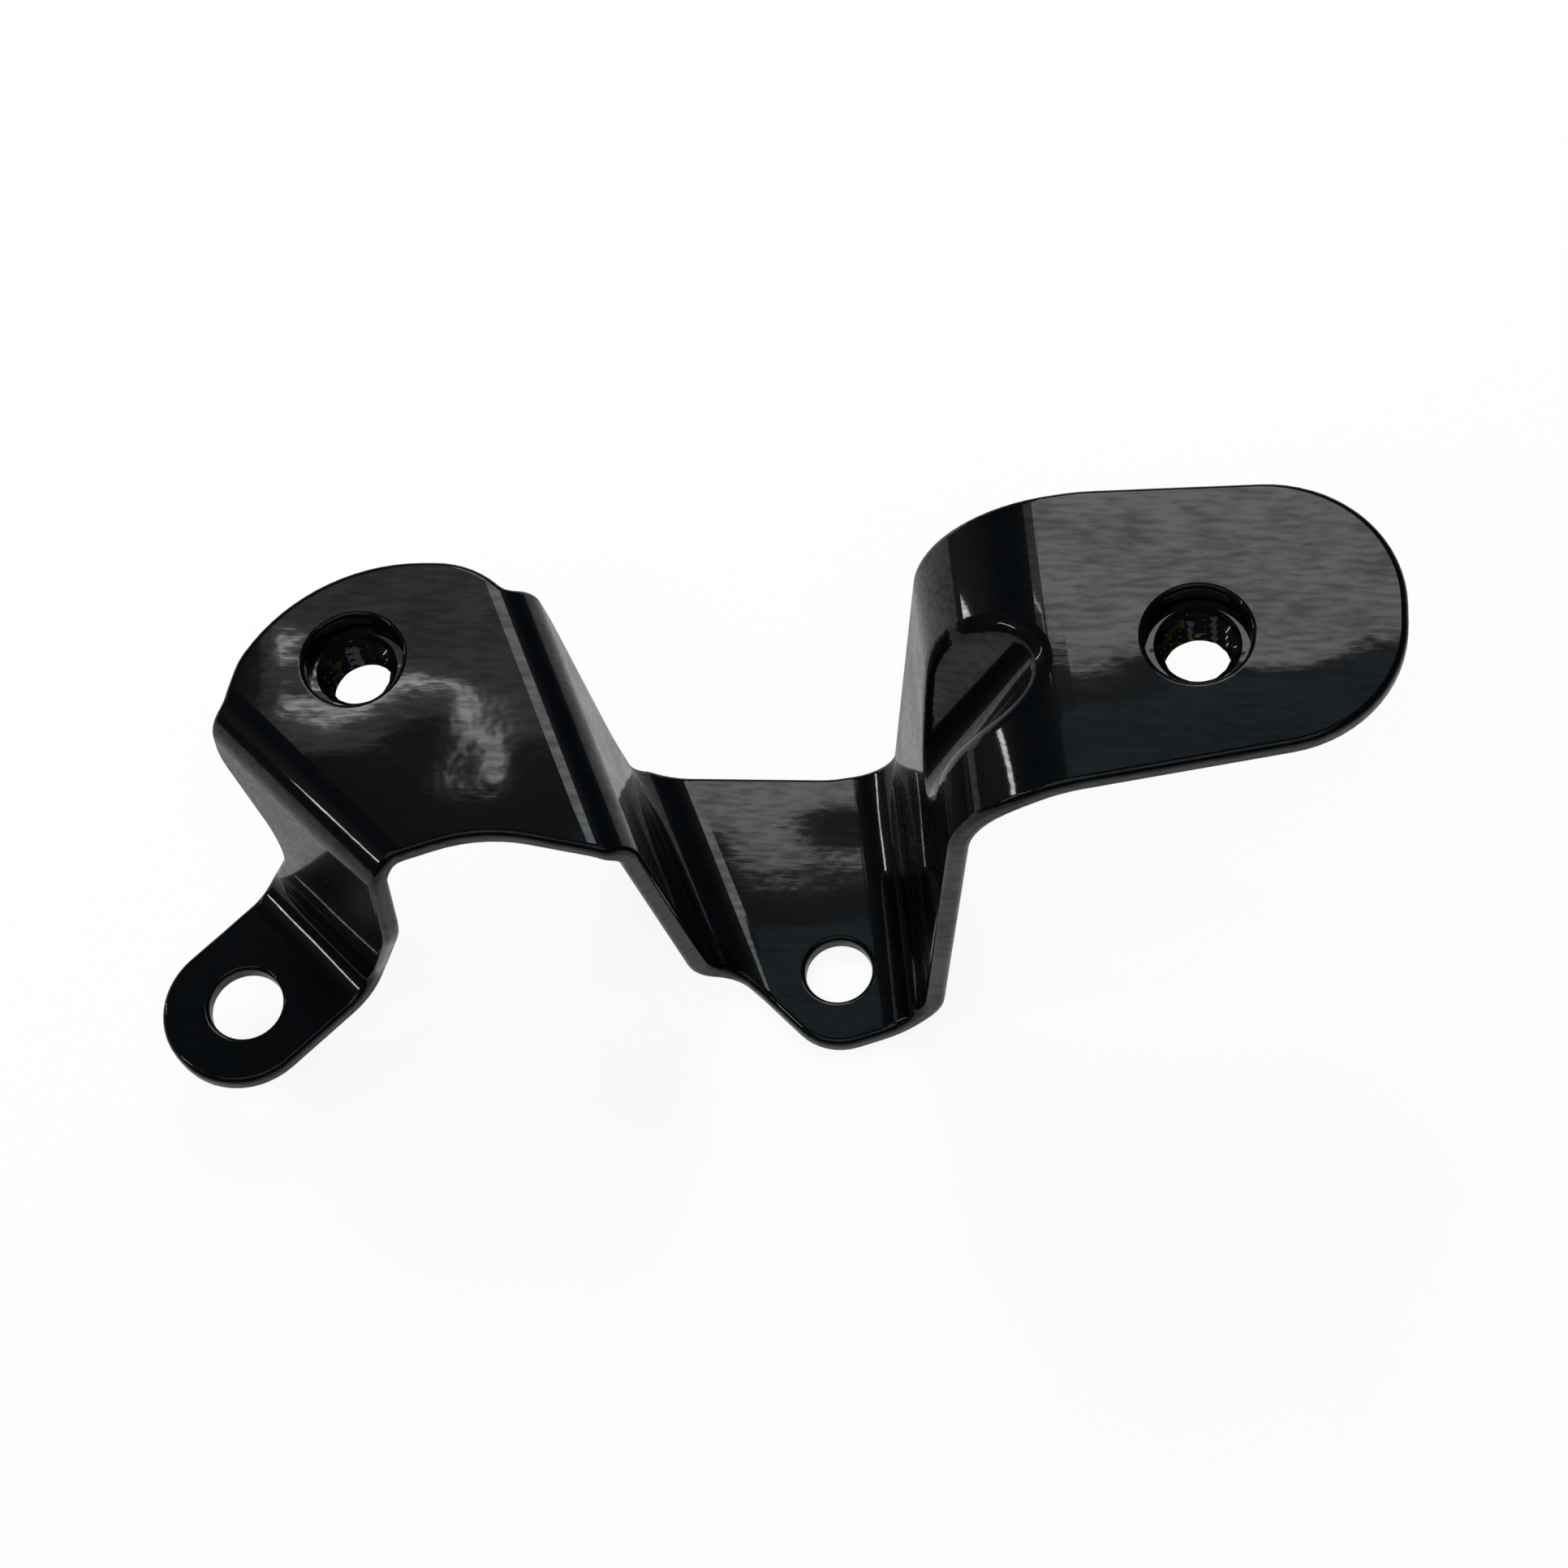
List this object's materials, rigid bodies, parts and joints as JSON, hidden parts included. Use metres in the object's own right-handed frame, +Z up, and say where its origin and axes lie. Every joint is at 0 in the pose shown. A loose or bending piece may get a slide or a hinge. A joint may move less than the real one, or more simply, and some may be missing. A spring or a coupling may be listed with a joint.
{
  "type": "fairing bracket",
  "caption": "Folded sheet-steel bracket in gloss black with stepped plates, a stiffening dart, plain bolt holes and captive weld nuts for holding a motorbike fairing.",
  "frame": {"origin": "on the underside of the middle plate, between the feet of the two walls", "axes": "+X along the bracket from the tab to the right plate, +Z up, square to every plate, +Y away from the viewer of the picture"},
  "size_m": [0.1013, 0.0361, 0.0427],
  "materials": {
    "black_paint": "gloss black paint",
    "nut_paint": "gloss black paint, bare zinc in the thread"
  },
  "bodies": {
    "root": {"bracket_plate": "black_paint", "weld_nuts": "nut_paint"}
  },
  "joints": []
}
